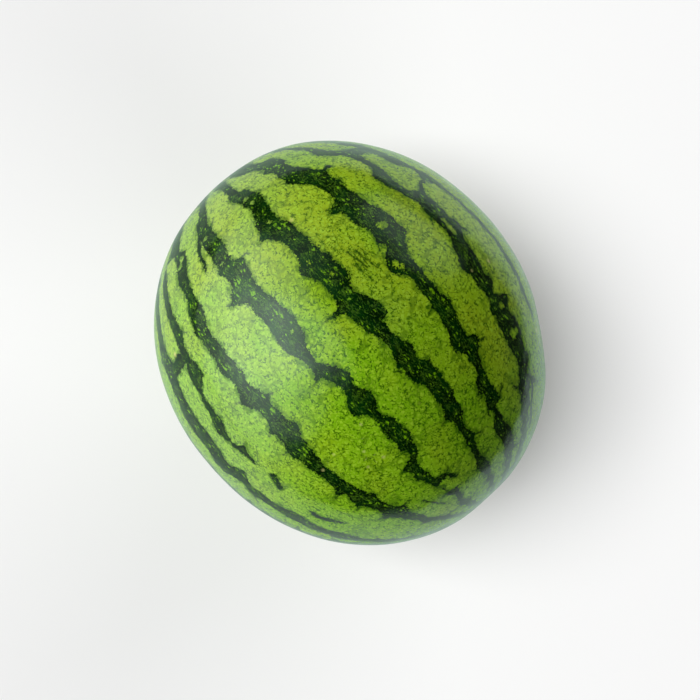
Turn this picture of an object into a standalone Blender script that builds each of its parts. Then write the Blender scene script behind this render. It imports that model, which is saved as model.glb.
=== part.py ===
"""A whole striped watermelon, lying on its belly.

The fruit grew as one piece, so it is one closed solid. Its skin is worked out by formula round the
axis that runs from the stem end to the blossom end: a slightly squared oval with a little lean and
taper, faint long ribs, a shoulder and a flat from the field, the dimple and corky scar where the
stem sat, and the small button where the blossom was. The fruit is then tipped so that its blossom
end rises a little, and a small flat spot is cut where it rests.

All sizes are in metres and all angles in degrees. Latitude is -90 at the stem end and 90 at the
blossom end. Longitude is 0 along the top of the fruit and grows towards +Y.
"""
import math

import bmesh
import bpy
from mathutils import Matrix

# Overall form
RADIUS = 0.1
HALF_LENGTH = 0.111
END_SQUARENESS = 2.08
TAPER = -0.009
LEAN = -0.018
TILT = 9.0

# Long ribs under the skin
RIB_COUNT = 10
RIB_HEIGHT = 0.0003

# A full shoulder and a shallow flat: latitude, longitude, height, spread
SWELLS = (
    (-62, 76, 0.0014, 15),
    (36, 84, -0.0018, 13),
)

# Stem end and blossom end
STEM_DIMPLE_DEPTH = 0.006
STEM_DIMPLE_SPREAD = 0.022
STEM_SCAR_RADIUS = 0.0055
STEM_SCAR_RISE = 0.0012
BLOSSOM_DIMPLE_DEPTH = 0.0014
BLOSSOM_DIMPLE_SPREAD = 0.009
BLOSSOM_SCAR_RADIUS = 0.0035
BLOSSOM_SCAR_RISE = 0.0006
SCAR_EDGE = 0.0015

# Flat spot that the fruit rests on
FLAT_DEPTH = 0.0016
WELD_DISTANCE = 0.00002

# Grid of the skin: sides round the axis, rings along it, and how much closer the rings are at the ends
SIDES = 72
RINGS = 72
RING_CROWDING = 0.68

RIND_COLOR = (0.16, 0.33, 0.05, 1.0)
RIND_ROUGHNESS = 0.38


def clear_scene():
    """Remove whatever the file opened with."""
    for obj in list(bpy.data.objects):
        bpy.data.objects.remove(obj, do_unlink=True)


def signed_power(value, exponent):
    """The power of the value's size, with the value's sign."""
    return math.copysign(abs(value) ** exponent, value)


def smooth_step(value):
    """Rise from 0 to 1 with a soft start and end."""
    value = min(max(value, 0.0), 1.0)
    return value * value * (3.0 - 2.0 * value)


def angle_between(latitude_a, longitude_a, latitude_b, longitude_b):
    """Angle between two directions from the centre, all in degrees."""
    lat_a, lon_a, lat_b, lon_b = map(math.radians, (latitude_a, longitude_a, latitude_b, longitude_b))
    same = math.sin(lat_a) * math.sin(lat_b)
    same += math.cos(lat_a) * math.cos(lat_b) * math.cos(lon_a - lon_b)
    return math.degrees(math.acos(min(max(same, -1.0), 1.0)))


def unevenness(latitude, longitude):
    """How far the skin stands out of the plain oval: long ribs that fade at the ends, and swells."""
    fade = math.cos(math.radians(latitude)) ** 2
    height = RIB_HEIGHT * fade * math.cos(math.radians(RIB_COUNT * longitude))
    for swell_latitude, swell_longitude, rise, spread in SWELLS:
        away = angle_between(latitude, longitude, swell_latitude, swell_longitude) / spread
        height += rise * math.exp(-away * away)
    return height


def end_inset(off_axis, depth, spread, scar_radius, scar_rise):
    """How far an end is drawn in at a distance from the axis: a round dimple with a raised scar."""
    dimple = depth * math.exp(-((off_axis / spread) ** 2))
    scar = scar_rise * smooth_step((scar_radius + SCAR_EDGE - off_axis) / SCAR_EDGE)
    return dimple - scar


def skin_point(latitude, longitude):
    """A point of the skin, with the axis along +X and the middle of the fruit at the origin.

    The outline is a superellipse, so the ends are a little blunter than an ellipse's. The girth
    tapers towards the blossom end, and the rings lean sideways along the axis.
    """
    angle = math.radians(latitude)
    turn = math.radians(longitude)
    power = 2.0 / END_SQUARENESS
    along = HALF_LENGTH * signed_power(math.sin(angle), power)
    girth = RADIUS * signed_power(math.cos(angle), power) * (1.0 + TAPER * along / HALF_LENGTH)
    swell = unevenness(latitude, longitude)
    off_axis = girth + swell * math.cos(angle)
    lean = LEAN * along
    if along < 0.0:
        along += end_inset(
            off_axis, STEM_DIMPLE_DEPTH, STEM_DIMPLE_SPREAD, STEM_SCAR_RADIUS, STEM_SCAR_RISE)
    else:
        along -= end_inset(
            off_axis, BLOSSOM_DIMPLE_DEPTH, BLOSSOM_DIMPLE_SPREAD, BLOSSOM_SCAR_RADIUS,
            BLOSSOM_SCAR_RISE)
    along += swell * math.sin(angle)
    return along, off_axis * math.sin(turn) + lean, off_axis * math.cos(turn)


def crowded_latitude(even):
    """Latitude of a ring from its even place between -1 and 1, with the rings closer at the ends."""
    return 90.0 * (even + RING_CROWDING * math.sin(math.pi * even) / math.pi)


def pull_onto_skin(mesh):
    """Move the points of a unit ball, whose poles are on Z, onto the fruit's skin."""
    for vert in mesh.verts:
        x, y, z = vert.co
        even = math.atan2(z, math.hypot(x, y)) / (math.pi / 2)
        longitude = math.degrees(math.atan2(y, x))
        vert.co = skin_point(crowded_latitude(even), longitude)


def set_down(mesh):
    """Tip the fruit, put its middle over the origin, and let its flat spot lie at zero height."""
    tip = Matrix.Rotation(math.radians(-TILT), 4, "Y")
    bmesh.ops.transform(mesh, matrix=tip, verts=mesh.verts)
    corners = [[vert.co[axis] for vert in mesh.verts] for axis in range(3)]
    middle = [(min(values) + max(values)) / 2 for values in corners]
    bottom = min(corners[2]) + FLAT_DEPTH
    bmesh.ops.translate(mesh, vec=(-middle[0], -middle[1], -bottom), verts=mesh.verts)


def cut_flat_spot(mesh):
    """Cut away what lies below zero height and close the cut with one flat face."""
    parts = list(mesh.verts) + list(mesh.edges) + list(mesh.faces)
    cut = bmesh.ops.bisect_plane(
        mesh, geom=parts, dist=WELD_DISTANCE, plane_co=(0, 0, 0), plane_no=(0, 0, -1),
        clear_outer=True)
    rim = [part for part in cut["geom_cut"] if isinstance(part, bmesh.types.BMEdge)]
    bmesh.ops.contextual_create(mesh, geom=rim)


def rind_material():
    """Waxy green rind."""
    material = bpy.data.materials.new("watermelon_rind")
    material.use_nodes = True
    shader = material.node_tree.nodes["Principled BSDF"]
    shader.inputs["Base Color"].default_value = RIND_COLOR
    shader.inputs["Roughness"].default_value = RIND_ROUGHNESS
    shader.inputs["Metallic"].default_value = 0.0
    return material


def build_watermelon():
    """Make the fruit as one closed solid."""
    mesh = bmesh.new()
    bmesh.ops.create_uvsphere(mesh, u_segments=SIDES, v_segments=RINGS, radius=1.0)
    pull_onto_skin(mesh)
    set_down(mesh)
    cut_flat_spot(mesh)
    bmesh.ops.recalc_face_normals(mesh, faces=mesh.faces)
    data = bpy.data.meshes.new("watermelon")
    mesh.to_mesh(data)
    mesh.free()
    data.shade_smooth()
    data.set_sharp_from_angle(angle=math.radians(30))
    data.materials.append(rind_material())
    fruit = bpy.data.objects.new("watermelon", data)
    bpy.context.scene.collection.objects.link(fruit)


clear_scene()
build_watermelon()
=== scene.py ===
"""A whole striped watermelon lying on a pale floor, laid out as an add-on.

The rind is one surface worked out by formula from a latitude and a longitude. Latitude is -90 at
the stem end and 90 at the blossom end. Longitude is 0 along the top and grows towards +Y. Stripes,
veins and marks are kept as distances in millimetres on the rind's points, and the rind's material
draws them from those.
"""
import math

import bpy
import numpy as np
from mathutils import Matrix, Vector


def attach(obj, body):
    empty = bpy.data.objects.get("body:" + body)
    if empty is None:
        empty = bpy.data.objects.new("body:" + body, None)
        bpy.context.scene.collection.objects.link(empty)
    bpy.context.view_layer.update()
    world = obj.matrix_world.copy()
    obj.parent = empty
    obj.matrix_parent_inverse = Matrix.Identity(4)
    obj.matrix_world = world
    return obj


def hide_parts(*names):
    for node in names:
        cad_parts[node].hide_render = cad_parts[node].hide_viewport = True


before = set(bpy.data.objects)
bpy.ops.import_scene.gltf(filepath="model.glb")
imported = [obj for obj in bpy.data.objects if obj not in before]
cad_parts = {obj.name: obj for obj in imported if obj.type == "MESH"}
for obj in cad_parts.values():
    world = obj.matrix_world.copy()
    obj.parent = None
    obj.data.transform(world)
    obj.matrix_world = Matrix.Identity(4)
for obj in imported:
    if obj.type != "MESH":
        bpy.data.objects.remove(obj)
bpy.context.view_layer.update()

bl_info = {
    "name": "Striped watermelon",
    "version": (1, 0, 0),
    "blender": (4, 5, 0),
    "location": "3D View > Sidebar > Melon",
    "description": "Makes a striped watermelon and the plain stage that it lies on",
    "category": "Add Mesh",
}

# Grid of the rind: sides round the axis, rings along it, and how much finer the sides are on top
SIDES = 400
RINGS = 248
TOP_CROWDING = 0.25
# How far the rind stays inside the solid, and half the depth, the lengths and the number of the
# waves that make its shallow lumps, in metres
SKIN_CLEARANCE = 0.00012
LUMP_DEPTH = 0.0001
LUMP_LENGTHS = (0.018, 0.045)
LUMP_WAVES = 18
LUMP_SEED = 5

# Form of the fruit, in metres and degrees, as the solid has it
END_SQUARENESS = 2.08
TAPER = -0.009
LEAN = -0.018
RIB_COUNT = 10
RIB_HEIGHT = 0.0003
SCAR_EDGE = 0.0015
FLAT_DEPTH = 0.0016
SWELLS = (
    (-62, 76, 0.0014, 15),
    (36, 84, -0.0018, 13),
)
# Place, opposite the top, that the pale belly spot is measured from: latitude and longitude
BELLY_PLACE = (-8.0, 184.0)
# Depth, spread, scar radius and scar rise of the dimple at each end
STEM_END = (0.006, 0.022, 0.0055, 0.0012)
BLOSSOM_END = (0.0014, 0.009, 0.0035, 0.0006)

# Stripes seen from above, read off: latitude, left edge, right edge
STRIPES = (
    # Far left
    ((-45, -58.6, -51.9), (-40, -57.5, -51.9), (-35, -57.2, -51.6), (-30, -58.4, -52.5),
     (-27, -60, -52.5), (-25, -59.7, -51.9), (-22, -58.8, -50), (-18, -59.7, -52.5),
     (-15, -59.7, -53.8), (-12, -61.6, -54.4), (-7, -62.2, -54.7), (-2, -61.9, -55),
     (0, -62.3, -55.8), (2, -64.7, -56.2), (5, -64.7, -57.8), (7, -63.1, -56.2),
     (9.5, -61.2, -54.4), (12, -61.6, -57.5), (15, -64.1, -58.4), (17, -62.8, -58.4),
     (20, -62.8, -59.1), (23, -62.8, -59.1), (25, -63.8, -57.8), (28, -63.8, -57.5),
     (30, -64.1, -58.8), (33, -65, -59.7), (37, -64.7, -60), (40, -66.9, -59.4),
     (42, -66.9, -60), (45, -66.2, -60.3), (47, -65.6, -61.6), (50, -65, -61.5)),
    # Branch beside it, which ends half way
    ((-48, -42.5, -41), (-45, -44.4, -40), (-40, -44.4, -40.3), (-35, -43.8, -40),
     (-30, -43.4, -39.4), (-25, -43.1, -38.1), (-20, -43.1, -40), (-15, -45, -38.8),
     (-12, -45, -39.1), (-8, -46, -44.4), (-5, -46.9, -44.4), (-2, -49.4, -43.8),
     (0, -49.7, -45.6), (2.5, -48.8, -47.2), (5, -48.4, -46.9), (6, -48.1, -43.8),
     (8, -47.5, -46.2), (10, -47.5, -46.4), (11.5, -46.9, -46.8)),
    # Left of the middle
    ((-57, -38.1, -27.5), (-55, -37.5, -27.8), (-52, -39.4, -28.4), (-50, -40.6, -28.8),
     (-48, -32.5, -28.8), (-45, -31.6, -25.3), (-42, -31.2, -25), (-40, -31.6, -25.6),
     (-37, -32.2, -26.6), (-35, -31.9, -26.9), (-32, -30.5, -26.9), (-30, -30.5, -26.9),
     (-27, -31.9, -26.6), (-25, -32.2, -26.4), (-22, -33, -26.9), (-20, -33.2, -27.8),
     (-17, -32.5, -28.4), (-15, -32.5, -28.1), (-12, -31.9, -27.5), (-10, -33, -27.8),
     (-8, -32.5, -27.2), (-5, -31.6, -26.9), (-2, -32.5, -27.8), (0, -34.1, -27.4),
     (3, -31.9, -25.6), (5, -31.4, -26.9), (7, -31.6, -26.6), (9, -33.8, -26.9),
     (11, -33.1, -25.6), (13, -33.1, -25.6), (15, -35, -28.1), (17, -34.4, -28.1),
     (20, -34.1, -28.8), (23, -34.4, -30), (25, -34.4, -30.5), (28, -34.7, -30.3),
     (30, -35.3, -30.5), (31.5, -38, -30.5), (33, -35, -30.5), (35, -36.8, -30.5),
     (38, -38.1, -29.5), (40, -36.2, -29.7), (42, -36.2, -30.9), (45, -36.6, -30.9),
     (47, -40, -30), (48.5, -37.5, -28.4), (50, -36.9, -30), (53, -36.9, -31.2),
     (55, -36.6, -30.9), (58, -36.2, -31.9), (60, -39.1, -32.5), (63, -36.2, -31.2),
     (65, -35, -30)),
    # Middle left
    ((-57, -12.5, -7.5), (-55, -13.1, -8.4), (-52, -13.4, -8.8), (-50, -15.9, -9.1),
     (-47, -16.6, -10.3), (-45, -16.6, -10.6), (-43, -16.9, -9.4), (-40, -16.2, -10),
     (-38, -16.2, -9.4), (-35, -15.3, -8.8), (-32, -15.3, -9.1), (-30, -15.3, -9.7),
     (-27, -15.6, -9.4), (-25, -14.4, -6.2), (-22, -14.4, -6.9), (-20, -15.9, -7.8),
     (-18, -18.1, -8.1), (-16, -15, -8.1), (-15, -13.4, -8.1), (-12, -13.8, -7.2),
     (-10, -13.4, -7.2), (-7, -13.1, -6.2), (-3, -13.9, -6.2), (0, -14.1, -7.2),
     (2, -12.5, -9.1), (5, -11.9, -9.4), (8, -13.4, -7.5), (9, -11.2, -6.6),
     (10, -10.9, -6.2), (12, -10, -5.6), (14, -9.7, -5.9), (15, -9.7, -6.6),
     (17, -11.2, -5.6), (19, -12.5, -4.4), (20, -13.1, -4.4), (22, -10.3, -5.6),
     (24, -8.9, -6.9), (27, -9.7, -5.3), (30, -10.3, -4.7), (33, -10, -4.7),
     (35, -10.9, -5.6), (37, -9.7, -6.2), (39, -12.5, -7.5), (40, -16.2, -10),
     (42, -14.7, -10.3), (45, -16.2, -10.6), (47, -14.1, -10.6), (49, -14.1, -10.3),
     (50, -14.4, -6.2), (52, -13.4, -11.9), (54, -13, -12.3), (56.5, -13, -12.3),
     (58, -14.7, -7.8), (60, -12.5, -9.4), (63, -13.8, -10), (65, -16.2, -11.9)),
    # Middle right
    ((-58, 2.2, 7.2), (-55, 2.8, 7.5), (-52, 3.1, 6.9), (-50, 2.8, 6.9), (-47, 2.2, 6.9),
     (-45, 1.8, 9.7), (-42, 3.1, 10.3), (-40, 4.1, 11.4), (-37, 4.7, 11.4), (-35, 4.9, 10.6),
     (-33, 4.2, 9.9), (-30, 2.5, 9.2), (-27, 1.8, 9.2), (-25, 0.3, 10), (-23, 3.1, 10.5),
     (-20, 4.9, 10.3), (-17, 4.7, 10.9), (-15, 4.9, 10.6), (-13, 3.8, 10.6), (-11, 2.5, 11.4),
     (-10, 2.8, 11.6), (-8, 4.1, 11.6), (-5, 5, 11.9), (-3, 4.7, 11.9), (-1, 4.4, 10),
     (0, 4.1, 10), (1, 0.6, 10.6), (2, 4.1, 11.2), (3, 4.2, 11.6), (5, 4.7, 12.8),
     (6.5, 5, 13.1), (8, 5.3, 12.8), (9, 5.6, 10.3), (10, 6.2, 10.3), (12, 6.9, 10.3),
     (15, 6.9, 11.4), (17, 5.9, 12), (19, 5.3, 12), (20, 6.1, 10.9), (22, 6.1, 13.4),
     (24, 6.1, 13.8), (25, 6.6, 13.8), (27, 8.1, 13.8), (30, 8, 13.8), (33, 8.2, 13.8),
     (35, 7.5, 13.2), (37, 6.6, 13.8), (39, 7.8, 13.4), (40, 8.1, 11.6), (43, 8.2, 11.1),
     (45, 8.4, 12), (46.5, 8.1, 13.1), (48, 6.6, 11.4), (50, 8.1, 10.9), (53, 8.1, 10.9),
     (55, 7.8, 11.4), (57, 5.6, 12.2), (60, 6.6, 13.1), (62, 7.5, 13.1), (65, 8.4, 11.9)),
    # Right of the middle
    ((-58, 13.1, 26.2), (-55, 14.4, 25), (-52, 19.4, 30), (-50, 20.6, 30.6), (-47, 21.2, 30.9),
     (-45.5, 18.8, 30.9), (-43, 21.6, 27.8), (-40, 20.9, 28.1), (-37, 20.9, 29.1),
     (-35, 20.3, 30), (-33, 21.2, 30.9), (-31, 23.1, 31.9), (-30, 23.8, 32.5),
     (-28, 24.7, 31.2), (-25, 25.3, 31.9), (-23, 25.3, 30.6), (-21, 25, 30.6),
     (-20, 23.1, 30.9), (-18.5, 20.3, 31.2), (-17, 22.8, 30.9), (-15, 23.1, 30.9),
     (-12, 23.1, 31.9), (-10, 24.1, 32.5), (-8, 24.4, 32.8), (-5, 23.1, 32.5),
     (-3, 25, 32.8), (-2, 23.1, 30), (0, 21.2, 29.1), (2, 20.9, 27.8), (3.5, 22.5, 27.8),
     (5, 24.1, 27.8), (8, 23.4, 28.1), (10, 23.9, 28), (12, 24.1, 28.1), (14, 22.5, 29.1),
     (15, 23.9, 29.2), (17, 23.4, 28.8), (19, 23, 27.8), (20, 23.1, 27.6), (22, 22.5, 27.8),
     (24, 21.6, 27.8), (25, 21.6, 29.4), (26.5, 22.8, 31.6), (28, 23.8, 29.4),
     (30, 24.1, 27.8), (33, 24.7, 27.5), (35, 22.5, 27.2), (37, 21.9, 27.2),
     (38.5, 21.2, 27.5), (40, 23.1, 28.1), (42, 23, 28.4), (43.5, 21.6, 29.2),
     (45, 23.8, 26.2), (47, 23.9, 26.6), (49, 22.8, 27.8), (50, 22.2, 27.8), (52, 21.9, 29.4),
     (53.5, 22.5, 30.9), (55, 24.4, 31.9), (58, 25, 32.5), (60, 26.2, 33.1)),
    # Right
    ((-50, 40.6, 43.8), (-47, 40.9, 44.4), (-45, 41.2, 45), (-42, 40, 44.4), (-40, 38.6, 44.1),
     (-38, 38.8, 45), (-36, 40.6, 46.9), (-35, 41.6, 50.6), (-31, 45, 49.4), (-30, 45, 48.8),
     (-27, 45, 47.8), (-25, 44.9, 47.2), (-22, 43.1, 46.9), (-21, 40.9, 46.9),
     (-20, 40.6, 46.2), (-17, 40.8, 45.3), (-15, 40.9, 45), (-12, 42.2, 45.3),
     (-10, 42.5, 49.4), (-8, 44.1, 50), (-5, 43.1, 50), (-3, 42.5, 50), (-1, 43.8, 50),
     (0, 43.4, 50.9), (2, 43.8, 51.6), (3.5, 43.1, 50), (5, 41.9, 48.1), (7, 40.9, 47.8),
     (9, 40, 47.8), (11, 39.1, 47.5), (12, 39.7, 47.5), (15, 40.6, 46.2), (16, 40.6, 48.1),
     (18, 41.2, 47.2), (20, 41.9, 45), (21.5, 41.6, 49.4), (22.5, 39.7, 51.2), (24, 40, 49.4),
     (26, 40.9, 48.8), (28, 40.6, 50), (30, 40.3, 50.6), (33, 41.2, 50.6), (35, 41.6, 50.3),
     (37, 42.8, 50), (39, 43.8, 51.2), (40, 43.4, 50.6), (42, 41.9, 49.4), (44, 41.9, 48.1)),
    # Far right
    ((-35, 56.9, 60.9), (-33, 55, 60.9), (-30, 54.7, 60.3), (-27, 55.3, 60.6),
     (-25, 55, 60.6), (-22, 54.7, 60.3), (-20, 56.9, 60.6), (-18, 58.8, 60.6),
     (-16, 58.1, 61.2), (-14, 55.9, 61.6), (-10, 59.7, 61.6), (-7, 60, 61.9), (-5, 60.6, 62.2),
     (-2, 60.9, 62.5), (0, 61.4, 63.4), (3, 61.9, 64), (4.5, 61.7, 64.1), (6, 62.5, 64.1),
     (8, 63.1, 64.7), (10, 62.9, 64.7), (12, 62.6, 64.6), (15, 62.2, 64.4), (17, 62.4, 64.8),
     (19, 62.6, 64.6), (20, 62.9, 64.8), (23, 61.9, 64.7), (25, 61.9, 64.1), (28, 62.8, 64.4),
     (30, 63.4, 64.7), (32, 64, 64.4)),
)
# Whether each of these stripes runs on to the stem end and to the blossom end
RUNS_ON = ((True, True), (False, False), (True, True), (True, True), (True, True), (True, True),
           (True, True), (True, False))

# Narrow dark branches: half width in millimetres, then places as latitude and longitude
BRANCHES = (
    (3.6, ((-20.3, -57), (-20, -43))),
    (1.9, ((16.3, -46.2), (19.2, -48.8))),
    (1.4, ((30, -52), (32, -53.3), (35, -52), (38, -51))),
    (1.1, ((-43, -16.5), (-38, -18.7), (-36, -18.5), (-32, -18.8))),
    (1.1, ((50, -13), (51, -6), (53.5, -4.8))),
    (0.8, ((-31, 31), (-31.5, 35))),
    (0.9, ((44, 48), (46.5, 53), (48.5, 57.5))),
    (0.9, ((43, 47), (47, 52), (55, 51), (60, 53))),
    (4.2, ((-32.6, 47), (-32.4, 58))),
    (0.9, ((-9.5, 49), (-12.5, 53), (-13, 58), (-14, 60))),
)

# Light islands inside stripes: latitude, longitude, radius in millimetres
ISLANDS = (
    (-43.5, -28, 1.8), (-41.5, -29, 1.8), (-3, -9, 1.1), (-41, -14, 1.2), (-29, -13, 1.2),
    (-41, 6.5, 1.3), (-38, 7, 1.2), (-28, 6, 1.4), (-12, 6, 1.2), (-6, 8, 1.2),
    (-8, 28, 1.9), (-7.5, 29.3, 1.7), (1, 23.4, 1.7), (2.3, 24.1, 1.7), (-0.8, 46.5, 2.0),
    (1, 46.5, 2.3), (2.4, 46.5, 1.9), (23.7, 46, 2.0), (31.5, 45.5, 2.6), (31.5, 47.8, 2.3),
)

# Fine dark cracks in the light ground: strength, then places as latitude and longitude
CRACKS = (
    (0.42, ((-8, 15.6), (-5, 16.1), (-2, 16.8))),
    (0.38, ((-7, 17.6), (-4, 17.9), (-0.5, 18.8))),
    (0.36, ((-4.5, 14.4), (-1.5, 15.2), (1, 15.4))),
    (0.32, ((-6.5, 19), (-4, 19.6))),
    (0.5, ((52, -23), (56, -21.5), (60, -20))),
)
# Pale and dark marks: latitude, longitude, radius in millimetres
PALE_MARKS = (
    (-24, 11.2, 0.9), (24.2, -31.9, 0.5), (23.4, -25.3, 0.45), (22.9, -12.9, 0.5),
    (28.3, -18.6, 0.5), (32, -21.8, 0.5), (33, -16, 0.6), (12.5, 41.9, 0.5), (12.8, 51.6, 1.1),
    (-23, -47, 1.2), (35, 64.5, 1.3), (-60, 120, 1.2), (20, 150, 0.9), (44, -140, 1.1),
    (-15, -95, 0.9), (38, 95, 0.8), (-38, 84, 0.9),
)
DARK_MARKS = (
    (29, 3.4, 0.8), (64.5, 35.3, 0.9), (60, -38, 1.1), (56, -21, 0.9), (-33, -80, 0.9),
    (12, 110, 0.8), (-5, 132, 0.9), (48, 170, 0.8), (25, -112, 1.0),
)

# Stripes that the top view doesn't show: the first one's longitude, the next ones' and their number
HIDDEN_FIRST = 81.5
HIDDEN_STEP = 18.46
HIDDEN_COUNT = 12
HIDDEN_SEED = 21
LAST_LATITUDE = 87.0
# A degree of latitude along the skin and how near a stripe's edge is looked at, for its slope
DEGREE_ALONG = 1.9
SLOPE_STEP = 0.4
STEEPEST = 1.6

# Veins: length of a step in millimetres, number of steps, how far inside the stripe they start, how
# much they turn at each step, and how far from them their way is worked out
VEIN_SEED = 8
VEIN_STEP = 1.3
VEIN_STEPS = 8
VEIN_START = 2.3
VEIN_TURN = 0.45
VEIN_REACH = 4
# What the distances say, in millimetres, where nothing is near
FAR_WAY = 40.0
FAR_GAP = 60.0

# Stripes' edges: lobes as their fineness and their depth in millimetres, teeth as their size and
# depth, and the shift that keeps the middle of the edge where it was
LOBES = ((1.0, 1.5), (2.6, 0.9))
TOOTH_SIZE = 0.95
TOOTH_DEPTH = 4.2
EDGE_SHIFT = -0.88
# Light ground: how dark its flecks are, which way it turns yellow, and where its painted sheen
# grows
FLECK_STRENGTH = 0.88
YELLOW_WAY = (-0.7, 0.7, 0.0)
PAINTED_SHEEN_WAY = (-0.68, -0.73, 0.0)
PAINTED_SHEEN_STRENGTH = 0.12
# Wax and cork
WAX_IOR = 1.45
WAX_SHINE = 0.6
CORK_ROUGHNESS = 0.75


class MelonForm(bpy.types.PropertyGroup):
    """Sizes of the fruit."""

    radius: bpy.props.FloatProperty(
        name="Radius", description="Half the thickness of the fruit", default=0.1,
        min=0.03, max=0.3, subtype="DISTANCE")
    half_length: bpy.props.FloatProperty(
        name="Half length", description="Half the length along the axis", default=0.111,
        min=0.03, max=0.5, subtype="DISTANCE")
    tilt: bpy.props.FloatProperty(
        name="Tilt", description="How far the blossom end is raised", default=math.radians(9.0),
        subtype="ANGLE")
    vein_cell: bpy.props.FloatProperty(
        name="Vein cell", description="Size of the cells that the fine veins leave, in millimetres",
        default=2.0, min=0.5, max=10.0)
    lobe_cell: bpy.props.FloatProperty(
        name="Lobe cell", description="Size of the lobes along the stripes' edges, in millimetres",
        default=4.6, min=1.0, max=20.0)


def linear(code):
    """A colour's linear values from its sRGB hex code."""
    parts = [int(code[place:place + 2], 16) / 255 for place in (1, 3, 5)]
    return tuple(p / 12.92 if p <= 0.04045 else ((p + 0.055) / 1.055) ** 2.4 for p in parts)


def colour(name, description, code):
    """A colour that a user may change."""
    return bpy.props.FloatVectorProperty(
        name=name, description=description, subtype="COLOR", size=3, min=0.0, max=1.0,
        default=linear(code))


class MelonColours(bpy.types.PropertyGroup):
    """Colours of the rind and of the stage."""

    light: colour("Light ground", "Rind between the stripes", "#6B9E0A")
    light_yellow: colour("Yellow ground", "Where the light ground turns yellow", "#87A114")
    light_pale: colour("Pale ground", "Pale flecks in the light ground", "#94BB2A")
    fleck: colour("Fleck", "Dark flecks in the light ground", "#274F06")
    vein: colour("Vein", "Veins and dark dots in the light ground", "#1D3A05")
    dark: colour("Stripe", "Dark stripes", "#021602")
    dark_green: colour("Stripe green", "Where the stripes turn greener", "#052A05")
    island: colour("Island", "Light flecks inside the stripes", "#476B16")
    # Painted sheen: whitish reflection of the left window, painted into the light ground on that
    # side
    painted_sheen: colour("Painted sheen", "Thin whitish wax on one side", "#BCC6A8")
    belly: colour("Belly", "Pale spot that lay on the ground", "#D9CB84")
    cork: colour("Cork", "Scars at both ends and from the field", "#8A7550")
    cork_dark: colour("Cork cracks", "Cracks in the scars", "#4A3A24")
    floor: colour("Floor", "Plain pale floor", "#F1F1F1")
    floor_shine: colour("Mirrored floor", "Floor as the wax shows it", "#CFE9DE")
    room: colour("Room", "Glow of the room in the wax", "#E2FDEC")


def smooth_step(value):
    """Rise from 0 to 1 with a soft start and end."""
    value = np.clip(value, 0.0, 1.0)
    return value * value * (3.0 - 2.0 * value)


def angle_between(lat_a, lon_a, lat_b, lon_b):
    """Angle between two directions from the centre, all in degrees."""
    lat_a, lon_a, lat_b, lon_b = (np.radians(value) for value in (lat_a, lon_a, lat_b, lon_b))
    same = np.sin(lat_a) * np.sin(lat_b) + np.cos(lat_a) * np.cos(lat_b) * np.cos(lon_a - lon_b)
    return np.degrees(np.arccos(np.clip(same, -1.0, 1.0)))


def end_inset(off_axis, depth, spread, scar_radius, scar_rise):
    """How far an end is drawn in: a round dimple with a raised scar in its middle."""
    dimple = depth * np.exp(-((off_axis / spread) ** 2))
    return dimple - scar_rise * smooth_step((scar_radius + SCAR_EDGE - off_axis) / SCAR_EDGE)


def skin(latitude, longitude, form):
    """Points of the skin before it is set down, and their distances from the axis.

    Along the axis a point lies at half_length times the sine of its latitude, and off the axis at
    radius times its cosine, both drawn a little towards a square. Ribs and swells lift it, the ring
    leans sideways along the axis, the ends are drawn in, and the whole is tipped by the tilt.
    """
    angle, turn = np.radians(latitude), np.radians(longitude)
    power = 2.0 / END_SQUARENESS
    share = np.sign(np.sin(angle)) * np.abs(np.sin(angle)) ** power
    girth = form.radius * np.abs(np.cos(angle)) ** power * (1.0 + TAPER * share)
    swell = RIB_HEIGHT * np.cos(angle) ** 2 * np.cos(RIB_COUNT * turn)
    for place, across, rise, spread in SWELLS:
        away = angle_between(latitude, longitude, place, across) / spread
        swell = swell + rise * np.exp(-away ** 2)
    off_axis = girth + swell * np.cos(angle)
    along = form.half_length * share
    lean = LEAN * along
    along = np.where(along < 0.0, along + end_inset(off_axis, *STEM_END),
                     along - end_inset(off_axis, *BLOSSOM_END))
    along = along + swell * np.sin(angle)
    across = off_axis * np.sin(turn) + lean
    up = off_axis * np.cos(turn)
    tip_sin, tip_cos = math.sin(form.tilt), math.cos(form.tilt)
    points = np.stack([along * tip_cos - up * tip_sin, across, along * tip_sin + up * tip_cos], -1)
    return points, off_axis


def rind_grid():
    """Latitude and longitude of the rind's points: rings between the poles, sides round it."""
    latitude = np.linspace(-90.0, 90.0, RINGS + 1)[1:-1]
    share = np.arange(SIDES) / SIDES
    longitude = 360.0 * (share - TOP_CROWDING * np.sin(2 * np.pi * share) / (2 * np.pi))
    return np.meshgrid(latitude, longitude, indexing="ij")


def eased_edge(rows, latitude, outward):
    """Longitude of a stripe's edge at each latitude, from rows of latitude and longitude.

    Between two rows the edge is a straight line, a quarter sine or a half cosine. It is flat at the
    places where the light ground bulges in most, so that the bulges are round, and it keeps a sharp
    point where the dark reaches out.
    """
    places, reach = rows[:, 0], rows[:, 1] * outward
    inner = np.zeros(len(rows), bool)
    inner[1:-1] = (reach[1:-1] <= reach[:-2]) & (reach[1:-1] <= reach[2:])
    first = np.clip(np.searchsorted(places, latitude) - 1, 0, len(rows) - 2)
    part = np.clip((latitude - places[first]) / (places[first + 1] - places[first]), 0.0, 1.0)
    start_flat, end_flat = inner[first], inner[first + 1]
    curved = np.where(
        start_flat & end_flat, 0.5 - 0.5 * np.cos(np.pi * part),
        np.where(start_flat, 1.0 - np.cos(np.pi / 2 * part),
                 np.where(end_flat, np.sin(np.pi / 2 * part), part)))
    return (reach[first] + (reach[first + 1] - reach[first]) * curved) * outward


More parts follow.
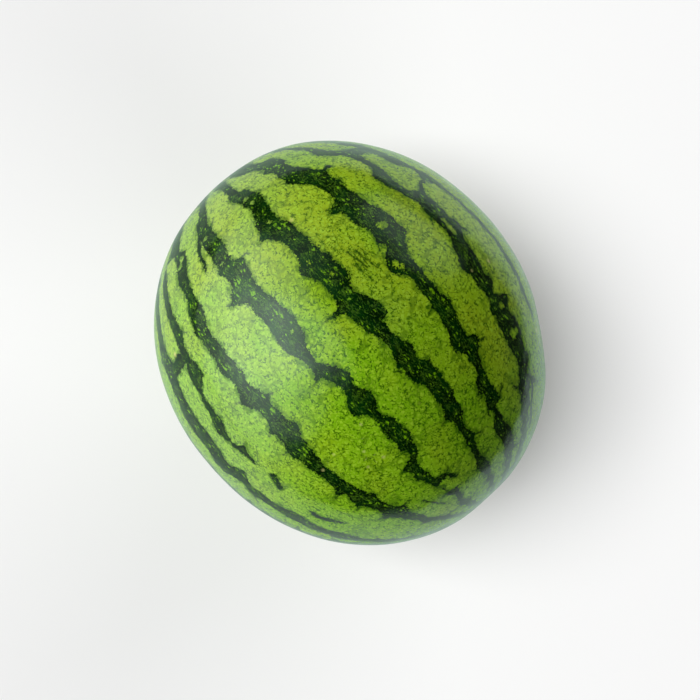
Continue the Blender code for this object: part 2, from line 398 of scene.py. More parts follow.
def drawn_edge(random, start, end, outward):
    """Rows for an edge that no picture shows, between two places given as latitude and longitude.

    The edge reaches out by 0.8 to 2.6 degrees in a point every 3 to 7 degrees of latitude, and
    comes back between the points. Its middle goes straight from start to end with a slow wander.
    """
    steps = random.uniform(1.6, 3.4, 200)
    places = start[0] + np.cumsum(steps)
    places = places[places < end[0] - 1.2]
    share = (places - start[0]) / (end[0] - start[0])
    wander = 0.7 * np.sin(places / random.uniform(7, 12) + random.uniform(0, 6.3))
    reach = np.where(np.arange(len(places)) % 2 == 0, random.uniform(0.8, 2.6, len(places)),
                     random.uniform(-0.7, 0.3, len(places)))
    across = start[1] + (end[1] - start[1]) * share + wander * np.sin(np.pi * share)
    return np.column_stack([places, across + reach * outward])


def joined_rows(*parts):
    """Rows of an edge put together in order of latitude."""
    return np.vstack([np.asarray(part, float).reshape(-1, 2) for part in parts])


def seen_stripe(random, rows, runs_on):
    """Both edges of a stripe that was read off, carried on to the ends of the fruit."""
    rows = np.asarray(rows, float)
    edges = []
    for column, outward in ((1, -1), (2, 1)):
        edge = rows[:, (0, column)]
        before, after = [], []
        if runs_on[0]:
            far = (-LAST_LATITUDE, edge[0, 1] * 0.9 + edge[:, 1].mean() * 0.1)
            before = joined_rows(far, drawn_edge(random, far, edge[0], outward))
        if runs_on[1]:
            far = (LAST_LATITUDE, edge[-1, 1] * 0.9 + edge[:, 1].mean() * 0.1)
            after = joined_rows(drawn_edge(random, edge[-1], far, outward), far)
        edges.append(joined_rows(before, edge, after))
    return edges


def hidden_stripe(random, middle):
    """Both edges of a stripe on the side that the picture doesn't show."""
    middle = middle + random.uniform(-1.5, 1.5)
    half = random.uniform(2.4, 4.2)
    bend = random.uniform(-2.0, 2.0)
    edges = []
    for outward in (-1, 1):
        stem = (-LAST_LATITUDE, middle + half * outward * 0.8)
        centre = (random.uniform(-8, 8), middle + bend + half * outward)
        blossom = (LAST_LATITUDE, middle + half * outward * 0.8)
        edges.append(joined_rows(
            stem, drawn_edge(random, stem, centre, outward), centre,
            drawn_edge(random, centre, blossom, outward), blossom))
    return edges


def stripe_gap(edges, latitude, longitude, degree):
    """Distance in millimetres from a stripe's edge: above 0 outside it and below 0 inside.

    It is the distance round the ring, less where the edge runs across the ring, and past an end of
    the stripe it also counts the way along the axis.
    """
    sides = []
    for edge, outward in zip(edges, (-1, 1)):
        here = eased_edge(edge, latitude, outward)
        slope = eased_edge(edge, latitude + SLOPE_STEP, outward)
        slope = (slope - eased_edge(edge, latitude - SLOPE_STEP, outward)) / (2 * SLOPE_STEP)
        slope = np.clip(slope * degree / DEGREE_ALONG, -STEEPEST, STEEPEST)
        away = (longitude - here + 180.0) % 360.0 - 180.0
        sides.append(away * outward * degree / np.sqrt(1.0 + slope * slope))
    gap = np.maximum(*sides)
    past = np.maximum(edges[0][0, 0] - latitude, latitude - edges[0][-1, 0]) * DEGREE_ALONG
    return np.maximum(gap, past)


def distance_to_chain(points, corners):
    """Distance of each point from a chain of straight lines."""
    nearest = np.full(len(points), 1e9)
    for start, end in zip(corners[:-1], corners[1:]):
        way = end - start
        part = np.clip((points - start) @ way / (way @ way), 0.0, 1.0)
        nearest = np.minimum(nearest, np.linalg.norm(points - start - part[:, None] * way, axis=1))
    return nearest


def all_stripes():
    """Edges of the stripes that were read off and of those on the side that wasn't seen."""
    random = np.random.default_rng(HIDDEN_SEED)
    stripes = [seen_stripe(random, rows, runs) for rows, runs in zip(STRIPES, RUNS_ON)]
    return stripes + [
        hidden_stripe(random, HIDDEN_FIRST + HIDDEN_STEP * count) for count in range(HIDDEN_COUNT)]


def stripe_field(stripes, latitude, longitude, points, off_axis, form):
    """Distance in millimetres of every point from the nearest stripe's edge, below 0 inside it."""
    degree = np.maximum(off_axis, 0.001) * 1000 * math.pi / 180
    field = np.full(latitude.shape, FAR_GAP)
    for edges in stripes:
        field = np.minimum(field, stripe_gap(edges, latitude, longitude, degree))
    for half_width, places in BRANCHES:
        corners = skin(*np.array(places, float).T, form)[0]
        field = np.minimum(field, distance_to_chain(points, corners) * 1000 - half_width)
    for place, across, radius in ISLANDS:
        centre = skin(np.array([place]), np.array([across]), form)[0]
        field = np.maximum(field, radius - np.linalg.norm(points - centre, axis=1) * 1000)
    return field


def grown_veins(random, stripes, form):
    """Veins that start at the points of the stripes' edges and wander off into the light ground.

    Each is a chain of places a step apart that starts 1 mm inside the stripe, heads away from it,
    turns a little at every step and gets weaker towards its end. Chains are given as rows of
    latitude, longitude and strength.
    """
    starts = []
    for edges in stripes:
        for edge, outward in zip(edges, (-1, 1)):
            reach = edge[:, 1] * outward
            tip = (reach[1:-1] > reach[:-2] + 0.5) & (reach[1:-1] > reach[2:] + 0.5)
            starts.append(np.column_stack([edge[1:-1][tip], np.full(tip.sum(), outward)]))
    starts = np.vstack(starts)
    starts = starts[np.abs(starts[:, 0]) < 78]
    count, steps = len(starts), VEIN_STEPS
    heading = random.uniform(-0.9, 0.9, count)[:, None]
    heading = heading + np.cumsum(random.normal(0.0, VEIN_TURN, (count, steps)), axis=1)
    length = random.uniform(0.45, 1.0, count)[:, None]
    degree = form.radius * 1000 * math.pi / 180
    latitude = starts[:, :1] + np.cumsum(np.sin(heading) * VEIN_STEP / degree, axis=1)
    across = np.cumsum(np.cos(heading) * VEIN_STEP, axis=1) - VEIN_START
    longitude = starts[:, 1:2] + across * starts[:, 2:] / degree / np.cos(np.radians(latitude))
    strength = np.clip(length * 1.05 - np.linspace(0.0, 1.0, steps), 0.0, 1.0)
    strength = np.minimum(strength * random.uniform(0.5, 1.3, count)[:, None], 1.0)
    return np.stack([latitude, longitude, strength], -1)


def way_to_chains(chains, latitude, longitude, points, form):
    """Way from every point of the grid to the nearest chain, its length, and the chain's strength.

    The way is a vector in millimetres. It changes evenly across a face, so the material gets the
    distance from a thin line far more finely than the grid's own spacing.
    """
    way = np.full(points.shape, FAR_WAY)
    gap = np.full(latitude.shape, FAR_GAP)
    strength = np.zeros(latitude.shape)
    for chain in chains:
        corners = skin(chain[:, 0], chain[:, 1], form)[0] * 1000
        risen = latitude[:, 0] - chain[:, 0].mean()
        turned = (longitude[0] - chain[:, 1].mean() + 180) % 360 - 180
        narrow = np.cos(np.radians(min(np.abs(chain[:, 0]).max(), 85)))
        window = np.ix_(
            np.flatnonzero(np.abs(risen) < np.ptp(chain[:, 0]) / 2 + VEIN_REACH),
            np.flatnonzero(np.abs(turned) < np.ptp(chain[:, 1]) / 2 + VEIN_REACH / narrow))
        place, strong = points[window] * 1000, strength[window]
        nearest, found = gap[window], way[window]
        for start, end, first, last in zip(corners[:-1], corners[1:], chain[:-1, 2], chain[1:, 2]):
            line = end - start
            part = np.clip((place - start) @ line / (line @ line), 0.0, 1.0)
            offset = place - start - part[..., None] * line
            away = np.linalg.norm(offset, axis=-1)
            nearer = (away < nearest) & (first + (last - first) * part > 0.0)
            nearest = np.where(nearer, away, nearest)
            found = np.where(nearer[..., None], offset, found)
            strong = np.where(nearer, first + (last - first) * part, strong)
        gap[window], way[window], strength[window] = nearest, found, strong
    return way, gap, strength


def way_to_marks(points, form):
    """Way from every point to the nearest mark, and its size as a pale and as a dark one.

    All are in millimetres. Where the nearest mark is of the other kind the size is below zero.
    """
    places = np.array(PALE_MARKS + DARK_MARKS)
    centres = skin(places[:, 0], places[:, 1], form)[0]
    way = (points[:, None, :] - centres) * 1000
    nearest = np.argmin(np.linalg.norm(way, axis=2), axis=1)
    sizes = places[nearest, 2]
    pale = nearest < len(PALE_MARKS)
    way = way[np.arange(len(points)), nearest]
    none = -3.0
    return way, np.where(pale, sizes, none), np.where(pale, none, sizes)


def undulation(points):
    """Shallow unevenness of the skin, at most 0.2 mm deep: a sum of waves 18 to 45 mm long."""
    random = np.random.default_rng(LUMP_SEED)
    ways = random.normal(size=(LUMP_WAVES, 3))
    lengths = random.uniform(*LUMP_LENGTHS, LUMP_WAVES)
    ways *= (2 * np.pi / lengths / np.linalg.norm(ways, axis=1))[:, None]
    waves = np.sin(points @ ways.T + random.uniform(0, 2 * np.pi, LUMP_WAVES)).sum(axis=1)
    return LUMP_DEPTH * (np.tanh(waves / 4) - 1.0)


def closed_faces():
    """Faces of the rind: four-sided between the rings, and fans of triangles at both poles."""
    rows = RINGS - 1
    count = rows * SIDES
    here = np.arange(SIDES)
    there = (here + 1) % SIDES
    ring = (np.arange(rows - 1) * SIDES)[:, None]
    quads = np.stack([ring + here, ring + there, ring + SIDES + there, ring + SIDES + here], -1)
    last = (rows - 1) * SIDES
    stem = np.stack([there, here, np.full(SIDES, count)], -1)
    blossom = np.stack([last + here, last + there, np.full(SIDES, count + 1)], -1)
    parts = (quads.reshape(-1, 4), stem, blossom)
    return [face for part in parts for face in part[:, ::-1].tolist()]


def number_on_points(mesh, name, values):
    """Keep a number on every point of a mesh."""
    mesh.attributes.new(name, "FLOAT", "POINT").data.foreach_set("value", values.astype(np.float32))


def way_on_points(mesh, name, values):
    """Keep a vector on every point of a mesh."""
    held = mesh.attributes.new(name, "FLOAT_VECTOR", "POINT").data
    held.foreach_set("vector", values.astype(np.float32).ravel())


def rind_mesh(form):
    """The rind's surface, with the stripe distance, the scars and the pale belly on its points."""
    rings, sides = rind_grid()
    stripes = all_stripes()
    chains = list(grown_veins(np.random.default_rng(VEIN_SEED), stripes, form))
    chains += [
        np.column_stack([places, np.full(len(places), strength)]) for strength, places in CRACKS]
    veins = way_to_chains(chains, rings, sides, skin(rings, sides, form)[0], form)
    latitude = np.append(rings.ravel(), (-90.0, 90.0))
    longitude = np.append(sides.ravel(), (0.0, 0.0))
    points, off_axis = skin(latitude, longitude, form)
    field = stripe_field(stripes, latitude, longitude, points, off_axis, form)
    marks = way_to_marks(points, form)
    inward = -(points / np.linalg.norm(points, axis=1)[:, None])
    placed = points - inward * (undulation(points) - SKIN_CLEARANCE)[:, None]
    low, high = points.min(axis=0), points.max(axis=0)
    placed -= np.array([(low[0] + high[0]) / 2, (low[1] + high[1]) / 2, low[2] + FLAT_DEPTH])
    placed[:, 2] = np.maximum(placed[:, 2], 0.0)
    mesh = bpy.data.meshes.new("rind")
    mesh.from_pydata(placed.tolist(), [], closed_faces())
    mesh.shade_smooth()
    number_on_points(mesh, "stripe_gap", field)
    poles = np.full((2, 3), FAR_WAY)
    way_on_points(mesh, "vein_way", np.vstack([veins[0].reshape(-1, 3), poles]))
    number_on_points(mesh, "vein_gap", np.append(veins[1], (FAR_GAP, FAR_GAP)))
    number_on_points(mesh, "vein_strength", np.append(veins[2], (0.0, 0.0)))
    way_on_points(mesh, "mark_way", marks[0])
    number_on_points(mesh, "pale_mark", marks[1])
    number_on_points(mesh, "dark_mark", marks[2])
    scar = np.where(latitude < 0, STEM_END[2] - off_axis, BLOSSOM_END[2] - off_axis) * 1000
    number_on_points(mesh, "scar_depth", np.clip(scar, -40, 10))
    number_on_points(mesh, "belly_angle", angle_between(latitude, longitude, *BELLY_PLACE))
    return mesh


# Setting that makes a Map Range rise softly
SOFT = {"interpolation_type": "SMOOTHSTEP"}


def wire(tree, kind, inputs, out=0, **settings):
    """Add a node with its settings and links, and give back one of its outputs.

    The inputs are values or links, by socket or else in order. For a Map Range node that order is
    the value, the lowest and highest that it is read at, and what it gives there.
    """
    node = tree.nodes.new("ShaderNode" + kind)
    for name, value in settings.items():
        setattr(node, name, value)
    for place, value in inputs.items() if isinstance(inputs, dict) else enumerate(inputs):
        if isinstance(value, bpy.types.NodeSocket):
            tree.links.new(value, node.inputs[place])
        else:
            node.inputs[place].default_value = value
    return node.outputs[out]


def patches(tree, place, size, low, high, weak=0.0, strong=1.0, detail=2.0, roughness=0.5):
    """Cloudy patches of a size in millimetres, weak at a noise's low level, strong at its high."""
    cloud = wire(tree, "TexNoise", {
        "Vector": place, "Scale": 1 / size, "Detail": detail, "Roughness": roughness})
    return wire(tree, "MapRange", (cloud, low, high, weak, strong))


def winding_lines(tree, place, size, inner, outer, strong, roughness=0.5, **settings):
    """Winding lines a size apart in millimetres, where a noise is within a reach of its middle."""
    away = wire(tree, "TexNoise", {
        "Vector": place, "Scale": 1 / size, "Detail": 3.0, "Roughness": roughness})
    away = wire(tree, "Math", (away, 0.5), operation="SUBTRACT")
    away = wire(tree, "Math", (away,), operation="ABSOLUTE")
    return wire(tree, "MapRange", (away, inner, outer, strong, 0.0), **settings)


def painted(tree, under, *layers):
    """A colour with others laid over it in turn, each given after how much of it shows."""
    for share, over in layers:
        under, over = (shade if isinstance(shade, bpy.types.NodeSocket) else (*shade, 1)
                       for shade in (under, over))
        under = wire(tree, "Mix", {0: share, 6: under, 7: over}, out=2, data_type="RGBA")
    return under


def swayed(tree, place, size, detail, reach, start):
    """Places moved to and fro from a start, by up to half a reach in millimetres."""
    sway = wire(tree, "TexNoise", {"Vector": place, "Scale": 1 / size, "Detail": detail}, out=1)
    sway = wire(tree, "VectorMath", (sway, (0.5, 0.5, 0.5)), operation="SUBTRACT")
    return wire(tree, "VectorMath", (sway, (reach,) * 3, start), operation="MULTIPLY_ADD")


def stripe_edge(tree, place, bent, gap, form):
    """Distance from the stripes' edges with their lobes and teeth, in millimetres.

    The light ground bulges into the stripes in round lobes, one for each cell of two cell patterns,
    and the dark keeps a sharp point between two lobes. A fine noise adds the teeth.
    """
    edge = wire(tree, "Math", (gap, EDGE_SHIFT), operation="ADD")
    for fineness, depth in LOBES:
        fineness /= form.lobe_cell
        lobe = wire(tree, "TexVoronoi", {"Vector": bent, "Scale": fineness}, feature="F1")
        edge = wire(tree, "Math", (lobe, -depth, edge), operation="MULTIPLY_ADD")
    teeth = wire(tree, "TexNoise", {
        "Vector": place, "Scale": 1 / TOOTH_SIZE, "Detail": 2.0, "Roughness": 0.7})
    return wire(tree, "Math", (teeth, TOOTH_DEPTH, edge), operation="MULTIPLY_ADD")


def drawn_veins(tree, place):
    """How strongly the veins that run out from the stripes show, and the shade around them.

    Both go from 0 to 1. A vein is as wide as it is strong, and a noise makes it wobble.
    """
    way = wire(tree, "Attribute", (), out="Vector", attribute_name="vein_way")
    away = wire(tree, "VectorMath", (way,), out="Value", operation="LENGTH")
    rough = wire(tree, "Attribute", (), out="Fac", attribute_name="vein_gap")
    rough = wire(tree, "Math", (rough, 1.6), operation="SUBTRACT")
    away = wire(tree, "Math", (away, rough), operation="MAXIMUM")
    wobble = wire(tree, "TexNoise", {"Vector": place, "Scale": 1 / 1.2, "Roughness": 0.6})
    away = wire(tree, "Math", (wobble, -2.2, away), operation="MULTIPLY_ADD")
    away = wire(tree, "Math", (away, 1.1), operation="ADD")
    strength = wire(tree, "Attribute", (), out="Fac", attribute_name="vein_strength")
    full = wire(tree, "MapRange", (strength, 0.0, 0.5, 0.0, 0.95))
    width = wire(tree, "Math", (strength, 0.6, 0.25), operation="MULTIPLY_ADD")
    line = wire(tree, "Math", (away, width), operation="DIVIDE")
    shown = []
    for value, low, high, strong in ((line, 0.3, 1.3, 1.0), (away, 0.3, 2.4, 0.35)):
        near = wire(tree, "MapRange", (value, low, high, strong, 0.0), **SOFT)
        shown.append(wire(tree, "Math", (near, full), operation="MULTIPLY"))
    return shown


def pebbled_ground(tree, place, bent, colours, form):
    """Colour of the light ground: small pale grains between broken dark flecks, and soft veins."""
    # Broad patches of yellow, more of them towards the top of the picture
    broad = patches(tree, place, size=28, low=0.35, high=0.68, weak=-0.5, strong=0.5, detail=3.0)
    across = wire(tree, "VectorMath", (place, YELLOW_WAY), out="Value", operation="DOT_PRODUCT")
    across = wire(tree, "MapRange", (across, -28.0, 42.0, 0.05, 0.9))
    broad = wire(tree, "Math", (broad, across), operation="ADD", use_clamp=True)

    # Pale grains, and flecks along the edges of some of them
    wavy = swayed(tree, place, size=1.3, detail=1.0, reach=2.6, start=bent)
    cell = wire(tree, "TexVoronoi", {"Vector": wavy, "Scale": 1 / form.vein_cell},
                feature="DISTANCE_TO_EDGE")
    pale = wire(tree, "MapRange", (cell, 0.05, 0.4, 0.05, 0.85))
    line = wire(tree, "MapRange", (cell, 0.06, 0.2, 1.0, 0.0))
    broken = patches(tree, place, size=2.4, low=0.51, high=0.575, detail=3.0, roughness=0.7)
    line = wire(tree, "Math", (line, broken), operation="MULTIPLY")
    fine = patches(tree, bent, size=1.5, low=0.58, high=0.65, detail=3.0, roughness=0.65)
    line = wire(tree, "Math", (line, fine), operation="MAXIMUM")
    line = wire(tree, "Math", (line, FLECK_STRENGTH), operation="MULTIPLY")

    # Soft veins about a millimetre wide and 15 mm apart
    vein = winding_lines(tree, bent, size=15, inner=0.0, outer=0.03, strong=0.5, **SOFT)
    line = wire(tree, "Math", (line, vein), operation="MAXIMUM")

    # Dark dots up to a millimetre across, and the veins that run out from the stripes
    dot = wire(tree, "TexVoronoi", {"Vector": bent, "Scale": 1 / 6}, feature="F1")
    dot = wire(tree, "MapRange", (dot, 0.04, 0.11, 0.7, 0.0))
    drawn, around = drawn_veins(tree, place)
    dot = wire(tree, "Math", (dot, drawn), operation="MAXIMUM")

    # Painted sheen: a whitish reflection of the left window painted into the ground on its side
    painted_sheen = wire(tree, "VectorMath", (place, PAINTED_SHEEN_WAY), out="Value", operation="DOT_PRODUCT")
    painted_sheen = wire(tree, "MapRange", (painted_sheen, 10.0, 60.0, 0.0, PAINTED_SHEEN_STRENGTH), **SOFT)
    return painted(
        tree, colours.light, (broad, colours.light_yellow), (pale, colours.light_pale),
        (line, colours.fleck), (around, colours.fleck), (dot, colours.vein), (painted_sheen, colours.painted_sheen))


def mottled_stripe(tree, place, grain, edge, colours):
    """Colour of the dark stripes: nearly black, with fine lighter streaks and specks inside."""
    patch = patches(tree, place, size=7, low=0.4, high=0.65, detail=3.0)
    deep = wire(tree, "MapRange", (edge, -0.3, -2.2), **SOFT)
    streak = patches(tree, grain, size=0.75, low=0.53, high=0.72, strong=0.8, roughness=0.7)

    # Net of fine light lines in some stretches of the stripes
    lace = winding_lines(
        tree, grain, size=2.4, inner=0.004, outer=0.045, strong=0.75, roughness=0.7)
    spread = patches(tree, place, size=5, low=0.44, high=0.62)
    lace = wire(tree, "Math", (lace, spread), operation="MULTIPLY")

    # Ragged light specks in clusters
    speck = wire(tree, "TexVoronoi", {"Vector": grain, "Scale": 1 / 1.8}, feature="F1")
    ragged = wire(tree, "TexNoise", {"Vector": place, "Scale": 1 / 0.8, "Roughness": 0.6})
    speck = wire(tree, "Math", (ragged, 1.0, speck), operation="MULTIPLY_ADD")
    cluster = wire(tree, "TexNoise", {"Vector": place, "Scale": 1 / 6, "Detail": 1.0})
    speck = wire(tree, "Math", (cluster, -0.9, speck), operation="MULTIPLY_ADD")
    speck = wire(tree, "MapRange", (speck, 0.1, 0.32, 0.85, 0.0), **SOFT)
    layers = [(wire(tree, "Math", (share, deep), operation="MULTIPLY"), shade) for share, shade in (
        (streak, colours.island), (lace, colours.island), (speck, colours.light))]
    return painted(tree, colours.dark, (patch, colours.dark_green), *layers)


def marked(tree, place, rind, colours):
    """The rind's colour with its few ragged pale and dark marks laid over it."""
    way = wire(tree, "Attribute", (), out="Vector", attribute_name="mark_way")
    away = wire(tree, "VectorMath", (way,), out="Value", operation="LENGTH")
    rough = wire(tree, "TexNoise", {"Vector": place, "Scale": 1 / 0.9, "Detail": 2.0})
    away = wire(tree, "Math", (rough, 0.9, away), operation="MULTIPLY_ADD")
    away = wire(tree, "Math", (away, 0.45), operation="SUBTRACT")
    for name, shade in (("pale_mark", colours.belly), ("dark_mark", colours.cork_dark)):
        size = wire(tree, "Attribute", (), out="Fac", attribute_name=name)
        inside = wire(tree, "Math", (size, away), operation="SUBTRACT")
        inside = wire(tree, "MapRange", (inside, -0.6, 1.0, 0.0, 0.5))
        rind = painted(tree, rind, (inside, shade))
    return rind


def weathered(tree, place, rind, colours):
    """The rind's colour with the pale belly and the corky scars over it, and where the cork is."""
    belly = wire(tree, "Attribute", (), out="Fac", attribute_name="belly_angle")
    ragged = wire(tree, "TexNoise", {"Vector": place, "Scale": 1 / 16, "Detail": 4.0})
    belly = wire(tree, "Math", (ragged, 16.0, belly), operation="MULTIPLY_ADD")
    belly = wire(tree, "MapRange", (belly, 30.0, 40.0, 0.88, 0.0), **SOFT)
    scar = wire(tree, "Attribute", (), out="Fac", attribute_name="scar_depth")
    ragged = wire(tree, "TexNoise", {"Vector": place, "Scale": 1 / 1.6, "Detail": 3.0})
    scar = wire(tree, "Math", (ragged, 2.6, scar), operation="MULTIPLY_ADD")
    near = wire(tree, "MapRange", (scar, -4.5, 1.0, 0.0, 0.45), **SOFT)
    crack = wire(tree, "TexVoronoi", {"Vector": place, "Scale": 1 / 1.4},
                 feature="DISTANCE_TO_EDGE")
    crack = wire(tree, "MapRange", (crack, 0.03, 0.2))
    cork = painted(tree, colours.cork_dark, (crack, colours.cork))
    inside = wire(tree, "MapRange", (scar, 1.0, 1.7), **SOFT)
    rind = painted(tree, rind, (belly, colours.belly), (near, colours.light_pale), (inside, cork))
    return rind, inside


def waxy_rind(form, colours):
    """Ripe watermelon rind, waxy and smooth as it grew.

    The eye gets sharp dark green stripes with lobed edges on a yellow green ground full of fine
    darker flecks, and the shine of the wax: soft where it faces the eye, sharper at a flat angle.
    """
    material = bpy.data.materials.new("waxy_rind")
    material.use_nodes = True
    tree = material.node_tree
    shader = tree.nodes["Principled BSDF"]

    # Places in millimetres, the same bent to and fro, and a grain that runs along the fruit
    place = wire(tree, "TexCoord", (), out="Object")
    place = wire(tree, "VectorMath", {0: place, 3: 1000.0}, operation="SCALE")
    bent = swayed(tree, place, size=9, detail=2.0, reach=5.0, start=place)
    grain = wire(tree, "Mapping", {
        "Vector": bent, "Rotation": (0.0, -form.tilt, 0.0), "Scale": (2.6, 1.0, 1.0)},
        vector_type="TEXTURE")
    gap = wire(tree, "Attribute", (), out="Fac", attribute_name="stripe_gap")
    edge = stripe_edge(tree, place, bent, gap, form)
    dark = wire(tree, "MapRange", (edge, -0.2, 0.2, 1.0, 0.0), **SOFT)
    ground = pebbled_ground(tree, place, bent, colours, form)
    stripe = mottled_stripe(tree, place, grain, edge, colours)

    # Soft shade of green that the stripes throw a little way into the light ground
    shade = wire(tree, "TexNoise", {"Vector": place, "Scale": 1 / 4, "Detail": 2.0})
    shade = wire(tree, "Math", (shade, -9.0, 4.5), operation="MULTIPLY_ADD")
    shade = wire(tree, "Math", (shade, gap), operation="ADD")
    shade = wire(tree, "MapRange", (shade, 0.0, 1.8, 0.6, 0.0), **SOFT)
    ground = painted(tree, ground, (shade, colours.fleck), (dark, stripe))
    rind, cork = weathered(tree, place, marked(tree, place, ground, colours), colours)
    tree.links.new(rind, shader.inputs["Base Color"])

    # Wax: a shine that varies a little, over shallow lumps and pores, and none on the cork
    gloss = patches(tree, place, size=14, low=0.0, high=1.0, weak=0.1, strong=0.24, detail=3.0)
    gloss = wire(tree, "Mix", {0: cork, 2: gloss, 3: CORK_ROUGHNESS}, data_type="FLOAT")
    tree.links.new(gloss, shader.inputs["Roughness"])
    pores = wire(tree, "TexNoise", {"Vector": place, "Scale": 1 / 1.6, "Detail": 3.0})
    lumps = wire(tree, "TexNoise", {"Vector": place, "Scale": 1 / 11, "Detail": 1.0})
    height = wire(tree, "Math", (pores, 0.14, lumps), operation="MULTIPLY_ADD")
    bump = wire(tree, "Bump", {"Height": height, "Strength": 0.5, "Distance": 0.0006})
    tree.links.new(bump, shader.inputs["Normal"])
    shader.inputs["IOR"].default_value = WAX_IOR
    shader.inputs["Specular IOR Level"].default_value = WAX_SHINE
    return material


def plain_floor(colours):
    """Matt pale card, which ends in the rind's reflections where the real one would."""
    material = bpy.data.materials.new("pale_card")
    material.use_nodes = True
    tree = material.node_tree
    shader = tree.nodes["Principled BSDF"]
    shader.inputs["Roughness"].default_value = 0.9
    shader.inputs["Specular IOR Level"].default_value = 0.0
    place = wire(tree, "TexCoord", (), out="Object")
    middle = Matrix.Rotation(CAMERA_TURN, 4, "Z") @ Vector((*FLOOR_MIDDLE, 0.0))
    place = wire(tree, "Mapping", {
        "Vector": place, "Location": middle, "Rotation": (0.0, 0.0, CAMERA_TURN),
        "Scale": (*FLOOR_HALF, 1.0)}, vector_type="TEXTURE")
    right = wire(tree, "SeparateXYZ", (place,), out="X")
    dim = wire(tree, "MapRange", (right, 0.1, 0.8, 0.5, 0.0))
    place = wire(tree, "VectorMath", (place,), operation="ABSOLUTE")
    sides = wire(tree, "SeparateXYZ", (place,)).node.outputs
    away = wire(tree, "Math", (sides["X"], sides["Y"]), operation="MAXIMUM")
    beyond = wire(tree, "MapRange", (away, 0.98, 1.02))
    beyond = wire(tree, "Math", (beyond, dim), operation="MAXIMUM")
    mirrored = wire(tree, "LightPath", (), out="Is Glossy Ray")
    unseen = wire(tree, "Math", (beyond, mirrored), operation="MULTIPLY")
    card = painted(tree, colours.floor, (mirrored, colours.floor_shine), (unseen, BEYOND_FLOOR))
    tree.links.new(card, shader.inputs["Base Color"])
    return material


class MELON_OT_rind(bpy.types.Operator):
    """Make the striped rind, which stands for the whole fruit"""

    bl_idname = "melon.rind"
    bl_label = "Make rind"

    def execute(self, context):
        form, colours = context.scene.melon_form, context.scene.melon_colours
        mesh = rind_mesh(form)
        if not mesh.polygons:
            raise RuntimeError("the rind has no faces")
        mesh.materials.append(waxy_rind(form, colours))
        rind = bpy.data.objects.new("rind", mesh)
        context.scene.collection.objects.link(rind)
        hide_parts("watermelon")
        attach(rind, "root")
        return {"FINISHED"}


# Camera: straight above, turned so that the fruit lies as in the picture
CAMERA_HEIGHT = 0.63
CAMERA_TURN = math.radians(47.2)
CAMERA_LENS = 50.0
CAMERA_SHIFT = (-1.6 / 700, -5.8 / 700)

# Windows that light one piece each: name, piece, angle round the picture from its right, height
# above the horizon, width and height in metres, brightness
WINDOWS = (
    ("left_window", "rind", 180, 26, 6.2, 3.4, 4.5),
    ("upper_window", "rind", 110, 24, 5.0, 3.2, 2.15),
    ("lower_window", "rind", 234, 14, 4.0, 2.6, 3.9),
    ("high_window", "rind", 180, 62, 2.6, 2.6, 1.6),
    ("top_window", "rind", 60, 62, 2.6, 2.6, 3.7),
    ("floor_window", "floor", 172, 64, 2.9, 2.9, 8.7),
    ("upper_fill", "floor", 52, 14, 5.0, 2.6, 5.0),
    ("lower_fill", "floor", -52, 14, 5.0, 2.6, 5.0),
)
WINDOW_DISTANCE = 5.0
FRUIT_MIDDLE = 0.1
# How bright the room is for the camera, and its soft glows that only the shine shows: how wide each
# spreads in degrees, then angle round the picture, height above the horizon, and brightness
ROOM_BRIGHTNESS = 0.85
WHITE = (1.0, 1.0, 1.0)
GLOW_SPREAD = 28
GLOWS = (
    (180, 62, 2.15), (120, 38, 0.4), (150, 38, 1.35), (180, 38, 2.15), (210, 38, 1.6),
    (150, 12, 1.1), (180, 12, 1.0), (210, 12, 1.1), (60, 12, 1.1),
)
# The part of the pale floor that the shine shows is a rectangle: its middle, right and up from the
# picture's middle, and its half width and half height in metres. Beyond it the room is dark, and
# its left part is dimmer.
FLOOR_MIDDLE = (-0.42, -0.1)
FLOOR_HALF = (0.785, 0.62)
BEYOND_FLOOR = (0.02, 0.02, 0.02)
# Half a side of the floor itself
FLOOR_REACH = 3.0


def way_to(turn, rise):
    """Direction from an angle round the picture and a height above the horizon, in degrees."""
    turn, rise = math.radians(turn) + CAMERA_TURN, math.radians(rise)
    level = math.cos(rise)
    return Vector((math.cos(turn) * level, math.sin(turn) * level, math.sin(rise)))


def soft_room(tree, colours):
    """Strength and colour of the room's light: pale for the camera, soft glows for the shine."""
    way = wire(tree, "TexCoord", (), out="Generated")
    edge = math.cos(math.radians(GLOW_SPREAD))
    glow = 0.0
    for turn, rise, brightness in GLOWS:
        near = wire(tree, "VectorMath", (way, way_to(turn, rise)), out="Value",
                    operation="DOT_PRODUCT")
        near = wire(tree, "MapRange", (near, edge, 1.0, 0.0, brightness), **SOFT)
        glow = wire(tree, "Math", (near, glow), operation="ADD")
    shine = wire(tree, "LightPath", (), out="Is Glossy Ray")
    glow = wire(tree, "Math", (glow, shine), operation="MULTIPLY")
    seen = wire(tree, "LightPath", (), out="Is Camera Ray")
    tint = painted(tree, colours.room, (seen, WHITE))
    return wire(tree, "Mix", {0: seen, 2: glow, 3: ROOM_BRIGHTNESS}, data_type="FLOAT"), tint


def hang_window(scene, name, piece, turn, rise, width, height, brightness):
    """Make a large soft lamp that faces the fruit and lights one piece."""
    light = bpy.data.lights.new(name, "AREA")
    light.shape = "RECTANGLE"
    light.size, light.size_y = width, height
    light.energy = brightness * math.pi * width * height
    lamp = bpy.data.objects.new(name, light)
    scene.collection.objects.link(lamp)
    way = way_to(turn, rise)
    lamp.visible_glossy = False
    lamp.location = Vector((0.0, 0.0, FRUIT_MIDDLE)) + way * WINDOW_DISTANCE
    lamp.rotation_euler = way.to_track_quat("Z", "Y").to_euler()
    lit = bpy.data.collections.new("lit_by_" + name)
    lit.objects.link(bpy.data.objects[piece])
    lamp.light_linking.receiver_collection = lit


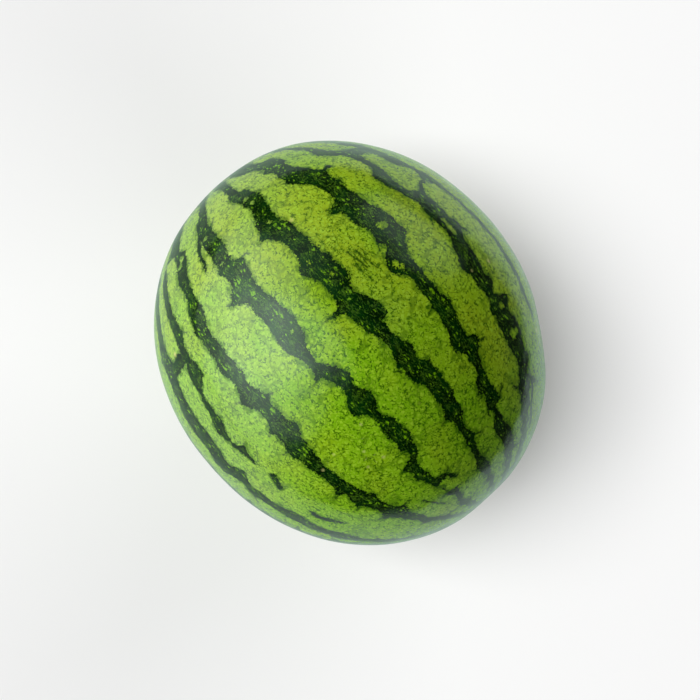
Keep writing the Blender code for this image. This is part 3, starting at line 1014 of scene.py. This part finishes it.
class MELON_OT_stage(bpy.types.Operator):
    """Make the pale floor, the soft lamps and the camera"""

    bl_idname = "melon.stage"
    bl_label = "Make stage"

    def execute(self, context):
        scene, colours = context.scene, context.scene.melon_colours
        floor = bpy.data.meshes.new("floor")
        corners = ((-1, -1), (1, -1), (1, 1), (-1, 1))
        floor.from_pydata([(FLOOR_REACH * x, FLOOR_REACH * y, 0) for x, y in corners], [],
                          [(0, 1, 2, 3)])
        floor.materials.append(plain_floor(colours))
        floor = bpy.data.objects.new("floor", floor)
        scene.collection.objects.link(floor)
        for window in WINDOWS:
            hang_window(scene, *window)
        world = bpy.data.worlds.new("pale_room")
        world.use_nodes = True
        tree = world.node_tree
        glow, tint = soft_room(tree, colours)
        tree.links.new(glow, tree.nodes["Background"].inputs["Strength"])
        tree.links.new(tint, tree.nodes["Background"].inputs["Color"])
        world.cycles.sampling_method = "NONE"
        scene.world = world
        camera = bpy.data.objects.new("camera", bpy.data.cameras.new("camera"))
        scene.collection.objects.link(camera)
        camera.location = (0.0, 0.0, CAMERA_HEIGHT)
        camera.rotation_euler = (0.0, 0.0, CAMERA_TURN)
        camera.data.lens, camera.data.sensor_width = CAMERA_LENS, 36.0
        camera.data.shift_x, camera.data.shift_y = CAMERA_SHIFT
        camera.data.clip_start = 0.01
        scene.camera = camera
        scene.view_settings.view_transform = "Standard"
        return {"FINISHED"}


class MELON_PT_panel(bpy.types.Panel):
    """Sizes, colours and makers of the melon"""

    bl_idname = "MELON_PT_panel"
    bl_label = "Striped watermelon"
    bl_space_type = "VIEW_3D"
    bl_region_type = "UI"
    bl_category = "Melon"

    def draw(self, context):
        scene = context.scene
        for group in (scene.melon_form, scene.melon_colours):
            box = self.layout.box()
            for name in group.__annotations__:
                box.prop(group, name)
        self.layout.operator(MELON_OT_rind.bl_idname)
        self.layout.operator(MELON_OT_stage.bl_idname)


CLASSES = (MelonForm, MelonColours, MELON_OT_rind, MELON_OT_stage, MELON_PT_panel)


def register():
    """Make the classes and their settings known to Blender."""
    for kind in CLASSES:
        bpy.utils.register_class(kind)
    bpy.types.Scene.melon_form = bpy.props.PointerProperty(type=MelonForm)
    bpy.types.Scene.melon_colours = bpy.props.PointerProperty(type=MelonColours)


def unregister():
    """Take the classes and their settings away again."""
    del bpy.types.Scene.melon_colours
    del bpy.types.Scene.melon_form
    for kind in reversed(CLASSES):
        bpy.utils.unregister_class(kind)


def main():
    """Make the fruit and its stage."""
    register()
    bpy.ops.melon.rind()
    bpy.ops.melon.stage()


if __name__ == "__main__":
    main()
